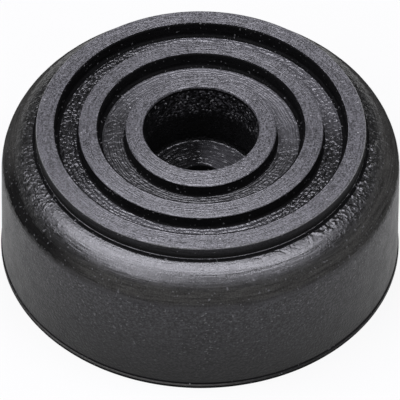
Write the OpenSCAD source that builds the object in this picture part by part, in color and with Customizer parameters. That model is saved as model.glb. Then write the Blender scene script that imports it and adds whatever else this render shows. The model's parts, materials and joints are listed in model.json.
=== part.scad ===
// Screw-on rubber foot: a round moulded pad with a ringed tread, a rounded shoulder
// and a deep recess for the head of the screw that holds it.
// The mounting face lies on Z = 0 and the tread faces up.

/* [Body] */
// Diameter over the moulding lip at the base
foot_d = 38; // [37:0.5:60]
// Height from the mounting face to the top of the tread
foot_h = 15.8; // [13:0.1:30]
// Width of the shoulder, from the side wall in to the outer ring
shoulder_w = 3.25; // [2.5:0.05:4]
// Radius of the shoulder's round
shoulder_r = 3.85; // [2.5:0.05:6]
// Height of the moulding lip round the base
lip_h = 0.45; // [0.3:0.05:0.8]
// How far the moulding lip stands out from the side wall
lip_w = 0.1; // [0.05:0.01:0.2]

/* [Tread] */
// Depth of the grooves between the rings
groove_depth = 1.5; // [0.8:0.1:2.5]
// Width of the inner ring, round the recess
inner_ring_w = 1.65; // [1.2:0.05:2.2]
// Width of the middle ring
middle_ring_w = 1.85; // [1.2:0.05:2.4]
// Width of the outer ring
outer_ring_w = 1.85; // [1.2:0.05:2.4]
// How far the middle ring lies outside the midline of its two neighbours
middle_ring_shift = 0.2; // [-0.4:0.05:0.4]
// Radius of the rings' top edges
ring_edge_r = 0.15; // [0.05:0.05:0.4]
// Fillet where a ring meets the floor of a groove
groove_fillet_r = 0.2; // [0.05:0.05:0.4]
// Width of the ledge at the foot of the outer ring
ledge_w = 0.16; // [0.08:0.02:0.4]
// Height of that ledge above the shoulder
ledge_h = 0.15; // [0.05:0.05:0.4]

/* [Screw seat] */
// Diameter of the recess for the screw's head
recess_d = 11; // [9:0.5:12]
// Depth of the recess below the top of the tread
recess_depth = 7.2; // [4:0.1:9]
// Fillet round the floor of the recess
recess_fillet_r = 0.4; // [0.2:0.1:1.5]
// Diameter of the screw hole
screw_hole_d = 4; // [3:0.1:6]

/* [Hidden] */
$fn = 128;

foot_r = foot_d / 2;
side_r = foot_r - lip_w;
tread_r = side_r - shoulder_w;
floor_z = foot_h - groove_depth;

// The shoulder's round is tangent to the side wall and ends under the edge of the ledge.
ledge_r = tread_r + ledge_w;
shoulder_top_z = floor_z - ledge_h;
shoulder_axis_r = side_r - shoulder_r;
shoulder_reach = max(0, ledge_r - shoulder_axis_r);
shoulder_axis_z = shoulder_top_z - sqrt(shoulder_r * shoulder_r - shoulder_reach * shoulder_reach);

// Inner and outer radius of each ring, and of the grooves between them.
recess_r = recess_d / 2;
inner_ring = [recess_r, recess_r + inner_ring_w];
outer_ring = [tread_r - outer_ring_w, tread_r];
middle_ring_r = (inner_ring[1] + outer_ring[0]) / 2 + middle_ring_shift;
middle_ring = [middle_ring_r - middle_ring_w / 2, middle_ring_r + middle_ring_w / 2];
rings = [inner_ring, middle_ring, outer_ring];
grooves = [[inner_ring[1], middle_ring[0]], [middle_ring[1], outer_ring[0]]];

// Cuts run past the faces they open by this much.
cut_margin = 1;

// Half section of the side wall and shoulder, no higher than the floors of the grooves.
module body_section() {
    intersection() {
        square([side_r, floor_z]);
        union() {
            square([side_r, shoulder_axis_z]);
            square([shoulder_axis_r, shoulder_axis_z + shoulder_r]);
            translate([shoulder_axis_r, shoulder_axis_z]) circle(shoulder_r);
        }
    }
}

// Half section of the lip, with its upper edge rounded back to the side wall.
module lip_section() {
    square([foot_r, lip_h - lip_w]);
    square([side_r, lip_h]);
    translate([side_r, lip_h - lip_w]) circle(lip_w);
}

// Half section of one tread ring, rising through the body, with round top edges.
module ring_section(ring) {
    ring_w = ring[1] - ring[0];
    translate([ring[0], 0]) {
        square([ring_w, foot_h - ring_edge_r]);
        translate([ring_edge_r, 0]) square([ring_w - 2 * ring_edge_r, foot_h]);
        for (x = [ring_edge_r, ring_w - ring_edge_r])
            translate([x, foot_h - ring_edge_r]) circle(ring_edge_r);
    }
}

// The fillet in the corner between a groove's floor and the wall at its left.
module fillet_section() {
    difference() {
        square(groove_fillet_r);
        translate([groove_fillet_r, groove_fillet_r]) circle(groove_fillet_r);
    }
}

// Both fillets of one groove, standing on its floor.
module groove_fillets_section(groove) {
    translate([groove[0], floor_z]) fillet_section();
    translate([groove[1], floor_z]) mirror([1, 0]) fillet_section();
}

// Half section of the space that the screw's head drops into, open at the tread.
module recess_section() {
    translate([0, foot_h - recess_depth]) {
        square([recess_r - recess_fillet_r, recess_depth]);
        translate([0, recess_fillet_r]) square([recess_r, recess_depth - recess_fillet_r + cut_margin]);
        translate([recess_r - recess_fillet_r, recess_fillet_r]) circle(recess_fillet_r);
    }
}

// Half section of the screw hole, from the mounting face into the recess.
module screw_hole_section() {
    translate([0, -cut_margin]) square([screw_hole_d / 2, foot_h + 2 * cut_margin]);
}

// Half section of the whole foot, on the right of its axis.
module foot_section() {
    difference() {
        union() {
            body_section();
            lip_section();
            square([ledge_r, floor_z]);
            for (ring = rings) ring_section(ring);
            for (groove = grooves) groove_fillets_section(groove);
        }
        recess_section();
        screw_hole_section();
    }
}

module foot() {
    color([0.13, 0.13, 0.14]) rotate_extrude() foot_section();
}

foot();
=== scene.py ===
import json
import math
from collections import namedtuple

import bpy
import numpy as np
from mathutils import Matrix, Quaternion, Vector, noise


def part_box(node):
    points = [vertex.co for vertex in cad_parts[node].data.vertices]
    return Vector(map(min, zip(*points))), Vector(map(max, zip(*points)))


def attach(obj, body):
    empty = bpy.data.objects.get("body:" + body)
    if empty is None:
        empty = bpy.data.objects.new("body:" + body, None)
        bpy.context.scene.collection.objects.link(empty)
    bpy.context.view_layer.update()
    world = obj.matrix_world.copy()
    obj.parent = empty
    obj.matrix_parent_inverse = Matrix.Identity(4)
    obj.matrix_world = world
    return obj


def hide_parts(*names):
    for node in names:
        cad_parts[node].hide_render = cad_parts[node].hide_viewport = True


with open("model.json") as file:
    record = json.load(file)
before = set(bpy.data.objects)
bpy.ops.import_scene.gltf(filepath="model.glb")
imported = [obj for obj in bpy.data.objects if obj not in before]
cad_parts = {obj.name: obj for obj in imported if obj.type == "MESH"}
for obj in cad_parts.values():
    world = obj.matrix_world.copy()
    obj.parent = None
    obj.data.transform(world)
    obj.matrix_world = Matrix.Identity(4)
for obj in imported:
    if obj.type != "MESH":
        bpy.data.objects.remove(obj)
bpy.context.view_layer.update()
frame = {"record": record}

MM = 0.001
mounts = {mount["name"]: mount for mount in frame["record"]["mounts"]}

# Sizes of the foot's section, in millimetres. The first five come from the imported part.
foot_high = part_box("foot")[1]
FOOT_R = min(foot_high.x, foot_high.y) / MM
FOOT_H = foot_high.z / MM
RECESS_R = mounts["head_recess"]["dims"]["r_mm"]
HOLE_R = mounts["screw_hole"]["dims"]["r_mm"]
HOLE_L = mounts["screw_hole"]["dims"]["length_mm"]
LIP_H = 0.45
LIP_W = 0.1
SHOULDER_W = 3.25
SHOULDER_R = 3.85
GROOVE_DEPTH = 1.5
INNER_RING_W = 1.65
MIDDLE_RING_W = 1.85
OUTER_RING_W = 1.85
MIDDLE_RING_SHIFT = 0.2
LEDGE_W = 0.16
LEDGE_H = 0.15
RING_EDGE_R = 0.15
GROOVE_FILLET_R = 0.2
RECESS_FILLET_R = 0.4
BASE_EDGE_R = 0.06
LIP_EDGE_R = 0.09
HOLE_EDGE_R = 0.12
LEDGE_EDGE_R = 0.05
# Heights of three bands: the top of the lip, paler at the front left as a painted highlight; the crease
# above it, dark as painted shade; and the recess's dark rim.
LIP_BRIGHT = 0.15
LIP_CREASE = 0.25
RIM_H = 0.6
# How much lower the top of each ring is worn at its outer edge.
RING_FALL = 0.1
# How much wider the inner ring is at the front, and how far in and out of its wall that is felt.
FRONT_SWELL = 0.36
SWELL_REACH = 0.8

# Places that follow from those sizes.
SIDE_R = FOOT_R - LIP_W
TREAD_R = SIDE_R - SHOULDER_W
FLOOR_Z = FOOT_H - GROOVE_DEPTH
LEDGE_R = TREAD_R + LEDGE_W
INNER_OUT = RECESS_R + INNER_RING_W
OUTER_IN = TREAD_R - OUTER_RING_W
MIDDLE_R = (INNER_OUT + OUTER_IN) / 2 + MIDDLE_RING_SHIFT
MIDDLE_IN = MIDDLE_R - MIDDLE_RING_W / 2
MIDDLE_OUT = MIDDLE_R + MIDDLE_RING_W / 2

# Mesh fineness: points round the foot and the fewest pieces of an arc.
AROUND = 360
ARC_PIECES = 4
# The longest steps along the section, in millimetres.
ARC_STEP = 0.18
FINE_STEP = 0.1
STEP = 0.2
SIDE_STEP = 0.35
PLAIN_STEP = 2.0
# Points closer than this count as one.
NO_GAP = 0.001


def shoulder_corner():
    """Height where the side wall would meet the shoulder's slope if that corner weren't rounded."""
    reach = LEDGE_R - (SIDE_R - SHOULDER_R)
    slope = reach / math.sqrt(SHOULDER_R ** 2 - reach ** 2)
    return FLOOR_Z - LEDGE_H - slope * SHOULDER_W + slope * LEDGE_W


# A corner of the section, with the stretch that follows it and the longest step along that stretch.
Corner = namedtuple("Corner", "radius height rounding stretch step")


def section_corners():
    """Corners of the half section, anticlockwise."""
    rows = [
        (HOLE_R, 0.0, HOLE_EDGE_R, "base", PLAIN_STEP),
        (FOOT_R, 0.0, BASE_EDGE_R, "lip_foot", FINE_STEP),
        (FOOT_R, LIP_H - LIP_BRIGHT, 0.0, "lip", FINE_STEP),
        (FOOT_R, LIP_H, LIP_EDGE_R, "lip", FINE_STEP),
        (SIDE_R, LIP_H, 0.0, "crease", FINE_STEP),
        (SIDE_R, LIP_H + LIP_CREASE, 0.0, "side", SIDE_STEP),
        (SIDE_R, shoulder_corner(), SHOULDER_R, "shoulder", STEP),
        (LEDGE_R, FLOOR_Z - LEDGE_H, 0.0, "wall", FINE_STEP),
        (LEDGE_R, FLOOR_Z, LEDGE_EDGE_R, "ledge", FINE_STEP),
        (TREAD_R, FLOOR_Z, LEDGE_EDGE_R, "flank", STEP),
        (TREAD_R, FOOT_H - RING_FALL, RING_EDGE_R, "ring", STEP),
        (OUTER_IN, FOOT_H, RING_EDGE_R, "wall", STEP),
        (OUTER_IN, FLOOR_Z, GROOVE_FILLET_R, "outer_groove", STEP),
        (MIDDLE_OUT, FLOOR_Z, GROOVE_FILLET_R, "wall", STEP),
        (MIDDLE_OUT, FOOT_H - RING_FALL, RING_EDGE_R, "ring", STEP),
        (MIDDLE_IN, FOOT_H, RING_EDGE_R, "wall", STEP),
        (MIDDLE_IN, FLOOR_Z, GROOVE_FILLET_R, "inner_groove", STEP),
        (INNER_OUT, FLOOR_Z, GROOVE_FILLET_R, "wall", STEP),
        (INNER_OUT, FOOT_H - RING_FALL, RING_EDGE_R, "ring", STEP),
        (RECESS_R, FOOT_H, RING_EDGE_R, "rim", STEP),
        (RECESS_R, FOOT_H - RIM_H, 0.0, "recess", SIDE_STEP),
        (RECESS_R, HOLE_L, RECESS_FILLET_R, "seat", STEP),
        (HOLE_R, HOLE_L, HOLE_EDGE_R, "hole", PLAIN_STEP),
    ]
    return [Corner(*row) for row in rows]


# Stretches that take the whole of the arc that leads to them, and those that take none of it.
WHOLE_ARCS = ("shoulder", "ring", "hole")
NO_ARCS = ("rim",)


def unit(vector):
    return vector / np.linalg.norm(vector)


def rounded_corner(before, corner, after, rounding):
    """Points of the arc that rounds one corner of the section, or the corner itself."""
    if rounding == 0:
        return [corner]
    into = unit(corner - before)
    out = unit(after - corner)
    turn = math.atan2(into[0] * out[1] - into[1] * out[0], into @ out)
    start = corner - into * rounding * math.tan(abs(turn) / 2)
    side = math.copysign(1, turn)
    centre = start + rounding * side * np.array((-into[1], into[0]))
    pieces = max(ARC_PIECES, math.ceil(abs(turn) * rounding / ARC_STEP))
    arm = start - centre
    arc = []
    for step in range(pieces + 1):
        angle = turn * step / pieces
        c = math.cos(angle)
        s = math.sin(angle)
        arc.append(centre + np.array((c * arm[0] - s * arm[1], s * arm[0] + c * arm[1])))
    return arc


def section_points():
    """The section as a closed row of points, and the stretch that the step after each point lies on."""
    corners = section_corners()
    places = [np.array((corner.radius, corner.height)) for corner in corners]
    count = len(corners)
    arcs = []
    for i, corner in enumerate(corners):
        arcs.append(rounded_corner(places[i - 1], places[i], places[(i + 1) % count], corner.rounding))
    points = []
    names = []
    for i, corner in enumerate(corners):
        arc = arcs[i]
        bands = (corners[i - 1].stretch, corner.stretch)
        if len(arc) == 1 or corner.stretch in WHOLE_ARCS:
            bands = (corner.stretch,)
        elif corner.stretch in NO_ARCS:
            bands = (corners[i - 1].stretch,)
        elif "wall" in bands:
            bands = ("wall",)
        for k, point in enumerate(arc):
            points.append(point)
            names.append(bands[k * len(bands) // len(arc)])
        gap = arcs[(i + 1) % count][0] - arc[-1]
        steps = math.ceil(np.linalg.norm(gap) / corner.step)
        for k in range(1, steps):
            points.append(arc[-1] + gap * k / steps)
            names.append(corner.stretch)
    points = np.array(points)
    apart = np.linalg.norm(points - np.roll(points, -1, axis=0), axis=1) > NO_GAP
    return points[apart], [name for name, kept in zip(names, apart) if kept]


def section_normals(points):
    """Outward normals of the closed section, from each point's two neighbours."""
    along = np.roll(points, -1, axis=0) - np.roll(points, 1, axis=0)
    normals = np.stack([along[:, 1], -along[:, 0]], axis=1)
    return normals / np.linalg.norm(normals, axis=1, keepdims=True)


# Relief of each stretch, in millimetres: pairs of the size of its lumps and how far they rise or sink.
RELIEF = {
    "side": ((2.2, 0.010), (0.6, 0.004)),
    "shoulder": ((0.9, 0.012), (0.4, 0.008)),
    "wall": ((0.7, 0.012),),
    "flank": ((0.7, 0.012),),
    "ring": ((1.2, 0.008), (0.45, 0.005)),
    "outer_groove": ((0.6, 0.020), (0.3, 0.010)),
    "inner_groove": ((0.6, 0.012), (0.3, 0.006)),
    "recess": ((0.8, 0.020),),
    "seat": ((1.2, 0.045),),
    "lip": ((1.5, 0.030),),
    "lip_foot": ((1.5, 0.030),),
}
# Stretches that touch the part's box only sink.
SINKING = ("ring", "lip", "lip_foot")
# How many rows of the section it takes to pass from one stretch's relief to the next.
RELIEF_BLEND = 5


# Each seed reads the noise this much further off.
SEED_SHIFT = (7.3, 3.1, 5.7)


def lumps(points, size, seed):
    """Smooth noise between about -1 and 1 at each point, with lumps of the given size."""
    shift = Vector([seed * step for step in SEED_SHIFT])
    return np.array([noise.noise(Vector(point) / size + shift) for point in points])


def relief(points, names):
    """How far each point of the revolved section is moved along its normal, in millimetres."""
    rows, around, _ = points.shape
    total = np.zeros((rows, around))
    flat = points.reshape(-1, 3)
    kernel = np.ones(RELIEF_BLEND) / RELIEF_BLEND
    for surface, layers in RELIEF.items():
        share = np.array([name == surface for name in names], float)
        padded = np.concatenate([share[-RELIEF_BLEND:], share, share[:RELIEF_BLEND]])
        share = np.convolve(padded, kernel, mode="same")[RELIEF_BLEND:-RELIEF_BLEND]
        used = np.repeat(share > 0, around)
        for seed, (size, height) in enumerate(layers):
            field = np.zeros(rows * around)
            field[used] = lumps(flat[used], size, seed + 1)
            if surface in SINKING:
                field[used] = (field[used] - 1) / 2
            total += share[:, None] * height * field.reshape(rows, around)
    return total


def front_swell(section, ring):
    """How far each point of the tread is moved outwards where the inner ring is wider at the front."""
    off_wall = np.abs(section[:, 0] - INNER_OUT)
    felt = np.clip(1 - off_wall / SWELL_REACH, 0, 1) * (section[:, 1] > FLOOR_Z - NO_GAP)
    frontness = np.clip(-ring[:, 1], 0, 1) ** 2
    return FRONT_SWELL * felt[:, None] * frontness[None, :]


# The material of each stretch but the shoulder, whose materials change along it.
MATERIAL_OF = {
    "base": "side",
    "lip_foot": "wall",
    "lip": "lip",
    # Painted shade: the crease above the lip takes the dark wall rubber.
    "crease": "wall",
    "side": "side",
    "ledge": "shoulder_0",
    "flank": "flank",
    "wall": "wall",
    "ring": "ring",
    "outer_groove": "outer_groove",
    "inner_groove": "inner_groove",
    "rim": "wall",
    "recess": "recess",
    "seat": "seat",
    "hole": "wall",
}


# Painted light: the shoulder's rubber comes in lit and shaded copies, laid out by tilt and heading. They
# are glossy and free of film where the lamps' highlight falls at the front, and duller and paler further
# round and lower down.
# How far down the shoulder its gloss reaches in front and behind, as the tilt of its surface in degrees.
GLOSS_FRONT = 53.0
GLOSS_BACK = 34.0
# Heading of the glossiest part, and how far from it the reach starts and ends its change, in degrees.
GLOSS_HEADING = -8.0
GLOSS_TURN = (50.0, 88.0)
# The gloss fades over this many steps, each of this tilt.
GLOSS_STEPS = 6
GLOSS_STEP_TILT = 2.8
# Lumps of this size in millimetres shift those steps up and down by this tilt.
GLOSS_LUMP = 0.6
GLOSS_SHIFT = 3.0
# Tilt where the dark crease under the ledge ends: up to that tilt the shoulder takes the dark wall rubber
# as painted shade.
CREASE_TILT = 15.0
# From this tilt on, the side wall's finish comes in over this many steps, each of the last tilt.
SIDE_TILT = 77.0
SIDE_STEPS = 5
SIDE_STEP_TILT = 2.2


def shoulder_finish(tilt, heading, shift):
    """The material at a place of the shoulder, from its tilt and its heading from the front in degrees."""
    off_middle = abs(heading - GLOSS_HEADING)
    off_middle = min(off_middle, 360 - off_middle)
    turn = np.clip((off_middle - GLOSS_TURN[0]) / (GLOSS_TURN[1] - GLOSS_TURN[0]), 0, 1)
    gloss_end = GLOSS_FRONT + (GLOSS_BACK - GLOSS_FRONT) * turn
    # Painted shade: the crease under the ledge takes the dark wall rubber.
    if tilt < CREASE_TILT:
        return "wall"
    place = tilt + shift * GLOSS_SHIFT
    gloss_step = round(GLOSS_STEPS / 2 + (place - gloss_end) / GLOSS_STEP_TILT)
    side_step = math.ceil((place - SIDE_TILT) / SIDE_STEP_TILT)
    if side_step > SIDE_STEPS:
        return "side"
    if side_step > 0:
        return f"shoulder_{GLOSS_STEPS + side_step}"
    return f"shoulder_{int(np.clip(gloss_step, 0, GLOSS_STEPS))}"


def make_foot(materials):
    """The foot as one closed mesh: its section turned about Z, with the relief of each stretch."""
    section, names = section_points()
    normals = section_normals(section)
    angles = np.arange(AROUND) * 2 * math.pi / AROUND
    ring = np.stack([np.cos(angles), np.sin(angles)], axis=1)

    def turned(rz):
        flat = rz[:, None, :1] * ring[None, :, :]
        up = np.repeat(rz[:, None, 1:], AROUND, axis=1)
        return np.concatenate([flat, up], axis=2)

    points = turned(section)
    points = points + relief(points, names)[:, :, None] * turned(normals)
    points[:, :, :2] += front_swell(section, ring)[:, :, None] * ring[None, :, :]
    rows = len(section)
    faces = []
    slots = []
    order = list(materials)
    headings = np.degrees(np.arctan2(ring[:, 0], -ring[:, 1]))
    for i in range(rows):
        below = i * AROUND
        above = (i + 1) % rows * AROUND
        if names[i] == "shoulder":
            tilt = math.degrees(math.atan2(*normals[i]))
            shifts = lumps(points[i], GLOSS_LUMP, 1)
            finishes = [shoulder_finish(tilt, *place) for place in zip(headings, shifts)]
        else:
            finishes = [MATERIAL_OF[names[i]]] * AROUND
        for j in range(AROUND):
            k = (j + 1) % AROUND
            faces.append((below + j, below + k, above + k, above + j))
            slots.append(order.index(finishes[j]))
    mesh = bpy.data.meshes.new("rubber_foot")
    mesh.from_pydata((points.reshape(-1, 3) * MM).tolist(), [], faces)
    for material in materials.values():
        mesh.materials.append(material)
    mesh.polygons.foreach_set("material_index", slots)
    mesh.polygons.foreach_set("use_smooth", [True] * len(faces))
    mesh.update()
    foot = bpy.data.objects.new("rubber_foot", mesh)
    bpy.context.scene.collection.objects.link(foot)
    return foot


class Nodes:
    """Short calls to add and join the nodes of one material."""

    def __init__(self, name):
        self.material = bpy.data.materials.new(name)
        self.material.use_nodes = True
        self.tree = self.material.node_tree
        self.shader = self.tree.nodes["Principled BSDF"]

    def add(self, kind, inputs=None, **settings):
        node = self.tree.nodes.new(kind)
        for key, value in settings.items():
            setattr(node, key, value)
        for key, value in (inputs or {}).items():
            self.put(value, node.inputs[key])
        return node

    def put(self, value, socket):
        if isinstance(value, bpy.types.NodeSocket):
            self.tree.links.new(value, socket)
        else:
            socket.default_value = value

    def maths(self, operation, *values):
        node = self.add("ShaderNodeMath", operation=operation)
        for value, socket in zip(values, node.inputs):
            self.put(value, socket)
        return node.outputs[0]

    def vector(self, operation, *values):
        node = self.add("ShaderNodeVectorMath", operation=operation)
        for value, socket in zip(values, node.inputs):
            self.put(value, socket)
        return node

    def spread(self, value, low, high, to_low, to_high):
        node = self.add(
            "ShaderNodeMapRange",
            {"Value": value, "From Min": low, "From Max": high, "To Min": to_low, "To Max": to_high},
        )
        return node.outputs["Result"]

    def noise(self, coordinates, size_mm, detail=2.0, roughness=0.5):
        node = self.add(
            "ShaderNodeTexNoise",
            {
                "Vector": coordinates,
                "Scale": 1 / (size_mm * MM),
                "Detail": detail,
                "Roughness": roughness,
            },
        )
        return node.outputs["Fac"]

    def mixed(self, share, first, second):
        node = self.add("ShaderNodeMix", {"Factor": share}, data_type="RGBA")
        self.put(first, node.inputs["A"])
        self.put(second, node.inputs["B"])
        return node.outputs["Result"]

    def bump(self, height, distance_mm, normal=None):
        node = self.add(
            "ShaderNodeBump",
            {"Height": height, "Strength": 1.0, "Distance": distance_mm * MM},
        )
        if normal:
            self.put(normal, node.inputs["Normal"])
        return node.outputs["Normal"]


def polar(nodes, place):
    """Distance of a place from the foot's axis, and the flat direction that it lies in."""
    flat = nodes.vector("MULTIPLY", place, (1.0, 1.0, 0.0)).outputs["Vector"]
    radius = nodes.vector("LENGTH", flat).outputs["Value"]
    heading = nodes.vector("NORMALIZE", flat).outputs["Vector"]
    return radius, heading


def turned_coordinates(nodes, place, circle_mm):
    """Coordinates on a circle of the given radius about the axis: noise on them gives turned lines."""
    radius, heading = polar(nodes, place)
    bend = nodes.vector("SCALE", heading)
    bend.inputs["Scale"].default_value = circle_mm * MM
    height = nodes.add("ShaderNodeSeparateXYZ", {"Vector": place}).outputs["Z"]
    across = nodes.maths("SUBTRACT", radius, height)
    up = nodes.add("ShaderNodeCombineXYZ", {"Z": across})
    return nodes.vector("ADD", bend.outputs["Vector"], up.outputs["Vector"]).outputs["Vector"]


def sector(nodes, heading, middle, half, blur):
    """One inside a sector of the foot and nought outside. Its angles are in degrees from the front."""
    angle = math.radians(middle)
    towards = (math.sin(angle), -math.cos(angle), 0.0)
    facing = nodes.vector("DOT_PRODUCT", heading, towards).outputs["Value"]
    inner = math.cos(math.radians(half))
    outer = math.cos(math.radians(half + blur))
    return nodes.spread(facing, outer, inner, 0.0, 1.0)


# Noise levels at the foot and the top of a bead, and those where groups of beads are lowest and highest.
BEAD_LEVELS = (0.46, 0.74)
GROUP_LEVELS = (0.35, 0.6)
# Size of a group, in spacings of its beads, and the share of their height that the lowest group has.
GROUP_SIZE = 5
LOW_GROUP = 0.4


def scattered_beads(nodes, place, spacing):
    """Height of scattered beads about as far apart as the given length, in groups of uneven height."""
    beads = nodes.spread(nodes.noise(place, spacing, detail=1.0), *BEAD_LEVELS, 0.0, 1.0)
    groups = nodes.spread(nodes.noise(place, GROUP_SIZE * spacing), *GROUP_LEVELS, LOW_GROUP, 1.0)
    return nodes.maths("MULTIPLY", beads, groups)


# How far fine ridges wander from their circles, in spacings, and over what length in millimetres.
RIDGE_SHIFT = 2.5
RIDGE_WANDER = 2.0
# Size of patches of lower ridges in millimetres, their noise levels, and the share of height they keep.
RIDGE_PATCH = 0.9
PATCH_LEVELS = (0.35, 0.65)
LOW_RIDGE = 0.4


def round_ridges(nodes, place, spacing):
    """Height of fine uneven ridges that run round the foot, as a share of their spacing."""
    radius, _ = polar(nodes, place)
    circle = nodes.maths("DIVIDE", radius, spacing * MM)
    across = nodes.maths("MULTIPLY_ADD", nodes.noise(place, RIDGE_WANDER), RIDGE_SHIFT, circle)
    cells = nodes.add("ShaderNodeTexVoronoi", feature="F1", voronoi_dimensions="1D")
    nodes.put(across, cells.inputs["W"])
    nodes.put(1.0, cells.inputs["Scale"])
    uneven = nodes.spread(nodes.noise(place, RIDGE_PATCH), *PATCH_LEVELS, LOW_RIDGE, 1.0)
    return nodes.maths("MULTIPLY", cells.outputs["Distance"], uneven)


# Flow marks in the shoulder, in millimetres: their height, and the radii between which they die out.
FLAW_HEIGHT = 0.2
FLAW_RADII = (16.3, 16.9)
FLAKE_SIZE = 0.6
# Cracks: spacing in millimetres, width as a share of it, and depth as a share of the flow marks' height.
CRACK_SPACING = 1.5
CRACK_WIDTH = 0.08
CRACK_DEPTH = 0.12
# Seam: radius and half widths of its floor and mouth in millimetres, and depth as a share of that height.
SEAM_R = 17.2
SEAM_FLOOR = 0.01
SEAM_MOUTH = 0.05
SEAM_DEPTH = 0.1
# Sectors of the foot that they fill, in degrees: middle, half width and blur.
FLAKE_SECTOR = (68.0, 20.0, 10.0)
CRACK_SECTOR = (38.0, 16.0, 8.0)
SEAM_SECTOR = (24.0, 18.0, 8.0)
SMOOTH_SECTOR = (0.0, 45.0, 20.0)
# Sector where the lower shoulder has little film, darker on the left as painted shade, and how much of the
# film is left there.
PAINTED_SHADE_SECTOR = (-62.0, 12.0, 16.0)
PAINTED_SHADE_FILM = 0.15
# Spacing of the small beads outside the smooth front, and their height as a share of the flow marks'.
PIMPLE_SPACING = 0.35
PIMPLE_SHARE = 0.3


def shoulder_flaws(nodes, place):
    """Height of the marks in the shoulder: flakes, cracks and a fine seam at the right, and small beads."""
    radius, heading = polar(nodes, place)
    near = nodes.spread(radius, FLAW_RADII[0] * MM, FLAW_RADII[1] * MM, 1.0, 0.0)
    flakes = scattered_beads(nodes, place, FLAKE_SIZE)
    flakes = nodes.maths("MULTIPLY", flakes, sector(nodes, heading, *FLAKE_SECTOR))
    cells = nodes.add(
        "ShaderNodeTexVoronoi",
        {"Vector": place, "Scale": 1 / (CRACK_SPACING * MM)},
        feature="DISTANCE_TO_EDGE",
    )
    cracks = nodes.spread(cells.outputs["Distance"], 0.0, CRACK_WIDTH, CRACK_DEPTH, 0.0)
    cracks = nodes.maths("MULTIPLY", cracks, sector(nodes, heading, *CRACK_SECTOR))
    marks = nodes.maths("MULTIPLY", nodes.maths("SUBTRACT", flakes, cracks), near)
    off_seam = nodes.maths("ABSOLUTE", nodes.maths("SUBTRACT", radius, SEAM_R * MM))
    seam = nodes.spread(off_seam, SEAM_FLOOR * MM, SEAM_MOUTH * MM, SEAM_DEPTH, 0.0)
    seam = nodes.maths("MULTIPLY", seam, sector(nodes, heading, *SEAM_SECTOR))
    marks = nodes.maths("SUBTRACT", marks, seam)
    pimples = nodes.spread(sector(nodes, heading, *SMOOTH_SECTOR), 0.0, 1.0, PIMPLE_SHARE, 0.0)
    pimples = nodes.maths("MULTIPLY", pimples, scattered_beads(nodes, place, PIMPLE_SPACING))
    return nodes.maths("ADD", marks, pimples)


# Colours of the bare rubber and of the pale film on it, and how strongly the rubber refracts.
BLACK = (0.005, 0.005, 0.005, 1.0)
FILM = (0.21, 0.208, 0.22, 1.0)
SHOULDER_FILM = (0.21, 0.207, 0.185, 1.0)
RUBBER_IOR = 1.7
# Noise levels of the glossiest and the dullest patches.
CLOUD_LEVELS = (0.3, 0.7)
# Dust: size of a speck in millimetres, how far specks gather in dull patches, and how soft their edges are.
SPECK_SIZE = 0.25
SPECK_GATHERING = 0.08
SPECK_EDGE = 0.06


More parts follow.
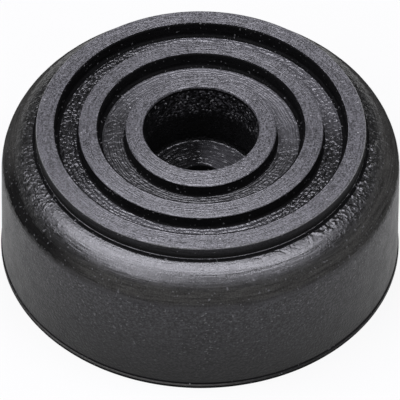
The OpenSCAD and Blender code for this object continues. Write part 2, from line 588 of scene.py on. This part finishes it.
def rubber(
    name,
    film,
    specular,
    roughness,
    grain,
    lines,
    film_colour=FILM,
    patchy=(0.35, 0.65),
    streaky=0.5,
    painted_shade_below=None,
    dust=(0.79, 0.2),
    darker=None,
    painted_sheen=(),
    beads=None,
    ridges=None,
    flaws=None,
):
    """Black rubber with a thin pale film, dust, uneven gloss, a fine grain and turned lines.

    Lengths are in millimetres.
    film: share of the film at its thinnest and thickest. patchy: the noise levels where it is so.
    streaky: how far the film follows the turned lines, not the grain.
    painted_shade_below: heights where film and dust start and are full; lower down the rubber is darkened
    as painted shade.
    dust: the noise level that makes a speck, and the brightness of specks.
    roughness: middle, swing and patch size. grain: size and height of the bumps.
    lines: spacing, height, and the radius of the circle that they are drawn on. A larger one shortens them.
    darker: a sector with less film, and the share left. painted_sheen: sectors with more film, as painted
    sheen and highlights, and how much each has.
    beads: their spacing and height, and the pale film on their tops, painted light. ridges: spacing and
    slope.
    flaws: makes the height of marks in the surface.
    """
    nodes = Nodes(name)
    place = nodes.add("ShaderNodeTexCoord").outputs["Object"]
    middle, swing, patch_size = roughness
    grain_size, grain_height = grain
    line_spacing, line_height, line_circle = lines
    dust_level, dust_brightness = dust
    cloud = nodes.noise(place, patch_size, detail=4.0, roughness=0.6)
    fine = nodes.noise(place, grain_size, detail=2.0, roughness=0.6)
    circles = nodes.noise(turned_coordinates(nodes, place, line_circle), line_spacing, detail=2.0)
    gathering = nodes.spread(cloud, *CLOUD_LEVELS, -SPECK_GATHERING, SPECK_GATHERING)
    specks = nodes.maths("ADD", nodes.noise(place, SPECK_SIZE, detail=0.0), gathering)
    dust_share = nodes.spread(specks, dust_level, dust_level + SPECK_EDGE, 0.0, 1.0)
    along_lines = nodes.maths("MULTIPLY", circles, streaky)
    film_noise = nodes.maths("MULTIPLY_ADD", fine, 1 - streaky, along_lines)
    film_and_painted_light = nodes.spread(film_noise, *patchy, *film)
    if beads:
        bead_spacing, bead_height, bead_top_light = beads
        bead_shape = scattered_beads(nodes, place, bead_spacing)
        # The bead tops get pale film: painted light on their lit tops.
        film_and_painted_light = nodes.maths("MULTIPLY_ADD", bead_shape, bead_top_light, film_and_painted_light)
    # Painted shade: below the given heights film and dust die out, so the rubber darkens downwards.
    if painted_shade_below:
        fade_start, fade_full = painted_shade_below
        height = nodes.add("ShaderNodeSeparateXYZ", {"Vector": place}).outputs["Z"]
        unshaded = nodes.spread(height, fade_start * MM, fade_full * MM, 0.0, 1.0)
        film_and_painted_light = nodes.maths("MULTIPLY", film_and_painted_light, unshaded)
        dust_share = nodes.maths("MULTIPLY", dust_share, unshaded)
    # Less film in one sector, which darkens it there.
    if darker:
        darker_sector, film_left = darker
        in_darker_sector = sector(nodes, polar(nodes, place)[1], *darker_sector)
        film_and_painted_light = nodes.maths("MULTIPLY", film_and_painted_light, nodes.spread(in_darker_sector, 0.0, 1.0, 1.0, film_left))
    # Painted sheen and highlights: more film in the given sectors.
    for sheen_sector, sheen_share in painted_sheen:
        sheen = sector(nodes, polar(nodes, place)[1], *sheen_sector)
        # The noise is about a half, so twice the share makes the painted sheen as strong as asked.
        sheen = nodes.maths("MULTIPLY", sheen, nodes.maths("MULTIPLY", film_noise, 2 * sheen_share))
        film_and_painted_light = nodes.maths("ADD", film_and_painted_light, sheen)
    film_and_painted_colour = nodes.mixed(film_and_painted_light, BLACK, film_colour)
    pale = (dust_brightness, dust_brightness, dust_brightness, 1.0)
    nodes.put(nodes.mixed(dust_share, film_and_painted_colour, pale), nodes.shader.inputs["Base Color"])
    dullness = nodes.spread(cloud, *CLOUD_LEVELS, middle - swing, middle + swing)
    nodes.put(dullness, nodes.shader.inputs["Roughness"])
    normal = nodes.bump(fine, grain_height)
    normal = nodes.bump(circles, line_height, normal)
    if beads:
        normal = nodes.bump(bead_shape, bead_height, normal)
    if ridges:
        ridge_spacing, ridge_slope = ridges
        ridge_shape = round_ridges(nodes, place, ridge_spacing)
        normal = nodes.bump(ridge_shape, ridge_spacing * ridge_slope, normal)
    if flaws:
        normal = nodes.bump(flaws(nodes, place), FLAW_HEIGHT, normal)
    nodes.put(normal, nodes.shader.inputs["Normal"])
    nodes.shader.inputs["Specular IOR Level"].default_value = specular
    nodes.shader.inputs["IOR"].default_value = RUBBER_IOR
    return nodes.material


# Reflection of the side wall, and the film with which the shoulder runs into it.
SIDE_SPECULAR = 0.14
SIDE_FILM = (0.06, 0.24)
# Film on the shoulder where it is glossy and where it is dull, and its roughness in the same two places.
GLOSSY_FILM = (0.0, 0.03)
DULL_FILM = (0.1, 0.36)
GLOSSY_ROUGHNESS = 0.28
DULL_ROUGHNESS = 0.4
# The reflection dies out by this power as the gloss fades.
GLOSS_POWER = 1.5


def blended(share, first, second):
    """Values part of the way from the first row to the second."""
    return tuple(a + (b - a) * share for a, b in zip(first, second))


def shoulder_rubber(step):
    """The shoulder's rubber at one step of its change from gloss to a dull film, and on to the side's."""
    dull = min(step / GLOSS_STEPS, 1.0)
    side = max(step - GLOSS_STEPS, 0) / (SIDE_STEPS + 1)
    middle_roughness = GLOSSY_ROUGHNESS + (DULL_ROUGHNESS - GLOSSY_ROUGHNESS) * dull
    return rubber(
        f"rubber_shoulder_{step}",
        film=blended(side, blended(dull, GLOSSY_FILM, DULL_FILM), SIDE_FILM),
        film_colour=blended(side, SHOULDER_FILM, FILM),
        # Painted shade: less film in a sector on the left of the shoulder.
        darker=(PAINTED_SHADE_SECTOR, PAINTED_SHADE_FILM + (1 - PAINTED_SHADE_FILM) * side),
        specular=(1 - dull) ** GLOSS_POWER + side * SIDE_SPECULAR,
        roughness=(middle_roughness, 0.08, 0.5),
        grain=(0.16, 0.03),
        lines=(0.25, 0.03, 1.5),
        dust=(0.77, 0.12),
        flaws=shoulder_flaws,
    )


# The finishes of the foot's stretches.
materials = {
    "side": rubber(
        "rubber_side",
        film=(0.04, 0.27),
        patchy=(0.42, 0.64),
        streaky=0.2,
        # Painted shade: the side wall darkens towards the base, in place of the floor's shadow that it
        # reflects.
        painted_shade_below=(0.0, 10.0),
        specular=SIDE_SPECULAR,
        roughness=(0.42, 0.06, 1.6),
        grain=(0.24, 0.06),
        lines=(0.2, 0.01, 12.0),
        dust=(0.74, 0.12),
    ),
    "lip": rubber(
        "rubber_lip",
        film=(0.0, 0.05),
        film_colour=SHOULDER_FILM,
        # Painted highlight: the lip's top is paler towards the front left, where light catches it.
        painted_sheen=(((-24.0, 18.0, 30.0), 0.32),),
        specular=0.1,
        roughness=(0.42, 0.06, 1.6),
        grain=(0.24, 0.06),
        lines=(0.2, 0.01, 1.0),
    ),
    "flank": rubber(
        "rubber_flank",
        film=(0.0, 0.25),
        # Painted shade: the flank darkens down to its foot at the ledge.
        painted_shade_below=(FLOOR_Z + 0.3, FLOOR_Z + 1.3),
        specular=0.08,
        roughness=(0.5, 0.05, 1.6),
        grain=(0.2, 0.05),
        lines=(0.2, 0.05, 0.6),
    ),
    "wall": rubber(
        "rubber_wall",
        film=(0.0, 0.02),
        specular=0.02,
        roughness=(0.5, 0.05, 1.6),
        grain=(0.2, 0.03),
        lines=(0.3, 0.04, 2.0),
        dust=(0.76, 0.16),
    ),
    "ring": rubber(
        "rubber_ring",
        film=(0.12, 1.0),
        patchy=(0.4, 0.6),
        streaky=0.25,
        specular=1.0,
        roughness=(0.36, 0.06, 1.6),
        grain=(0.16, 0.05),
        lines=(0.16, 0.06, 1.2),
        dust=(0.8, 0.5),
        ridges=(0.12, 0.38),
    ),
    "outer_groove": rubber(
        "rubber_outer_groove",
        film=(0.0, 0.08),
        patchy=(0.45, 0.65),
        # Painted sheen: the groove floor is paler at the back and the front, where its turned lines catch
        # the light.
        painted_sheen=(((150.0, 38.0, 25.0), 0.5), ((-12.0, 18.0, 35.0), 0.4)),
        specular=1.0,
        roughness=(0.26, 0.08, 0.6),
        grain=(0.16, 0.03),
        lines=(0.2, 0.04, 3.0),
        dust=(0.76, 0.15),
        beads=(0.35, 0.1, 0.35),
        ridges=(0.3, 0.35),
    ),
    "inner_groove": rubber(
        "rubber_inner_groove",
        film=(0.0, 0.1),
        patchy=(0.45, 0.65),
        # Painted sheen: the groove floor is paler towards the back, where its turned lines catch the light.
        painted_sheen=(((165.0, 45.0, 45.0), 0.52),),
        specular=1.0,
        roughness=(0.42, 0.08, 0.8),
        grain=(0.16, 0.02),
        lines=(0.3, 0.06, 2.0),
        dust=(0.76, 0.15),
        beads=(0.3, 0.06, 0.3),
        ridges=(0.22, 0.36),
    ),
    "recess": rubber(
        "rubber_recess",
        film=(0.0, 0.05),
        patchy=(0.52, 0.6),
        # Painted shade: the recess wall darkens to black further down.
        painted_shade_below=(FOOT_H - 4.0, FOOT_H - 2.8),
        specular=0.05,
        roughness=(0.4, 0.05, 1.6),
        grain=(0.25, 0.05),
        lines=(0.4, 0.04, 4.0),
        dust=(0.68, 0.3),
        darker=((-90.0, 30.0, 40.0), 0.25),
        beads=(0.28, 0.15, 0.5),
    ),
    "seat": rubber(
        "rubber_seat",
        film=(0.0, 0.03),
        # Painted highlight: a paler patch at the back right of the seat, where its rounded edge catches the
        # light.
        painted_sheen=(((140.0, 0.0, 45.0), 0.25),),
        specular=0.6,
        roughness=(0.2, 0.06, 0.7),
        grain=(0.4, 0.08),
        lines=(0.4, 0.08, 2.0),
        ridges=(0.35, 0.16),
    ),
}
for step in range(GLOSS_STEPS + SIDE_STEPS + 1):
    materials[f"shoulder_{step}"] = shoulder_rubber(step)
foot = make_foot(materials)
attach(foot, "root")
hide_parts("foot")

# The floor that the foot stands on, with its size in metres.
FLOOR_SIZE = 4.0
FLOOR_COLOUR = (0.9, 0.9, 0.9, 1.0)
FLOOR_ROUGHNESS = 0.9
floor_mesh = bpy.data.meshes.new("floor")
half_floor = FLOOR_SIZE / 2
floor_corners = [
    (-half_floor, -half_floor, 0.0),
    (half_floor, -half_floor, 0.0),
    (half_floor, half_floor, 0.0),
    (-half_floor, half_floor, 0.0),
]
floor_mesh.from_pydata(floor_corners, [], [(0, 1, 2, 3)])
floor = bpy.data.objects.new("floor", floor_mesh)
bpy.context.scene.collection.objects.link(floor)
floor_nodes = Nodes("floor_white")
floor_nodes.shader.inputs["Base Color"].default_value = FLOOR_COLOUR
floor_nodes.shader.inputs["Roughness"].default_value = FLOOR_ROUGHNESS
floor_nodes.shader.inputs["Specular IOR Level"].default_value = 0.0

# Seen directly or in a reflection, the floor is partly plain white, so the shadow on it stays faint.
WHITE_SHARE = 0.88
rays = floor_nodes.add("ShaderNodeLightPath").outputs
seen = floor_nodes.maths("MAXIMUM", rays["Is Camera Ray"], rays["Is Glossy Ray"])
seen = floor_nodes.maths("MAXIMUM", seen, rays["Is Transmission Ray"])
share = floor_nodes.maths("MULTIPLY", seen, WHITE_SHARE)
white = floor_nodes.add("ShaderNodeEmission", {"Color": (1.0, 1.0, 1.0, 1.0), "Strength": 1.0})
blend = floor_nodes.add("ShaderNodeMixShader", {0: share, 1: floor_nodes.shader.outputs["BSDF"]})
floor_nodes.put(white.outputs["Emission"], blend.inputs[2])
floor_nodes.put(blend.outputs["Shader"], floor_nodes.tree.nodes["Material Output"].inputs["Surface"])
floor_mesh.materials.append(floor_nodes.material)

tread_centre = Vector((0.0, 0.0, FOOT_H * MM))
LAMP_COLOUR = (0.91, 0.9, 1.0)


def softbox(name, centre, size, radiance, spin=0.0):
    """A rectangular studio lamp that faces the tread, with its long side level before its spin."""
    lamp = bpy.data.lights.new(name, "AREA")
    lamp.shape = "RECTANGLE"
    lamp.size, lamp.size_y = size
    lamp.energy = radiance * size[0] * size[1] * math.pi
    lamp.color = LAMP_COLOUR
    obj = bpy.data.objects.new(name, lamp)
    obj.location = centre
    behind = (obj.location - tread_centre).normalized()
    along = Vector((1.0, 0.0, 0.0))
    along = (along - along.dot(behind) * behind).normalized()
    facing = Matrix((along, behind.cross(along), behind)).transposed().to_quaternion()
    obj.rotation_mode = "QUATERNION"
    obj.rotation_quaternion = facing @ Quaternion((0.0, 0.0, 1.0), math.radians(spin))
    bpy.context.scene.collection.objects.link(obj)


# The lamps. Their centres and sizes are in metres, and a spin is in degrees.
softbox("overhead", centre=(-0.03, -0.02, 0.5), size=(0.92, 0.26), radiance=4.0, spin=-9.0)
softbox("front", centre=(0.05, -0.38, 0.42), size=(1.2, 0.36), radiance=0.65)
softbox("left", centre=(-0.34, -0.34, 0.49), size=(0.34, 0.36), radiance=1.9)

# The room: darkest from the horizon down, and palest where a direction climbs by SKY_CLIMB or more.
HORIZON_LIGHT = 0.03
SKY_LIGHT = 0.06
SKY_CLIMB = 0.5
world = bpy.data.worlds.new("studio")
bpy.context.scene.world = world
world.use_nodes = True
room = world.node_tree
sky = room.nodes["Background"]
sky.inputs["Color"].default_value = (1.0, 1.0, 1.0, 1.0)
directions = room.nodes.new("ShaderNodeTexCoord")
parts = room.nodes.new("ShaderNodeSeparateXYZ")
climb = room.nodes.new("ShaderNodeMapRange")
room.links.new(directions.outputs["Generated"], parts.inputs["Vector"])
room.links.new(parts.outputs["Z"], climb.inputs["Value"])
climb.inputs["From Max"].default_value = SKY_CLIMB
climb.inputs["To Min"].default_value = HORIZON_LIGHT
climb.inputs["To Max"].default_value = SKY_LIGHT
room.links.new(climb.outputs["Result"], sky.inputs["Strength"])

# The camera, at the photograph's angle. Pixels are those of its square frame, lengths are in millimetres.
PHOTO_PX = 400
TREAD_CENTRE_PX = (200.3, 127.9)
PX_PER_MM = 10.56
CAMERA_DISTANCE = 1353.0
CAMERA_REACH = 10000.0
ELEVATION = math.radians(46.1)
ROLL = math.radians(0.54)

back = Vector((0.0, -math.cos(ELEVATION), math.sin(ELEVATION)))
up = Vector((0.0, math.sin(ELEVATION), math.cos(ELEVATION)))
right = Vector((1.0, 0.0, 0.0))
offset_right = (PHOTO_PX / 2 - TREAD_CENTRE_PX[0]) / PX_PER_MM * MM
offset_up = (TREAD_CENTRE_PX[1] - PHOTO_PX / 2) / PX_PER_MM * MM
camera_data = bpy.data.cameras.new("camera")
camera = bpy.data.objects.new("camera", camera_data)
bpy.context.scene.collection.objects.link(camera)
camera.location = tread_centre + back * CAMERA_DISTANCE * MM
aim = tread_centre + right * offset_right + up * offset_up
look = (aim - camera.location).to_track_quat("-Z", "Y")
camera.rotation_mode = "QUATERNION"
camera.rotation_quaternion = look @ Quaternion((0.0, 0.0, 1.0), ROLL)
half_view = math.atan(PHOTO_PX / 2 / PX_PER_MM / CAMERA_DISTANCE)
camera_data.lens = camera_data.sensor_width / 2 / math.tan(half_view)
camera_data.clip_end = CAMERA_REACH * MM
bpy.context.scene.camera = camera

bpy.context.scene.view_settings.view_transform = "Standard"
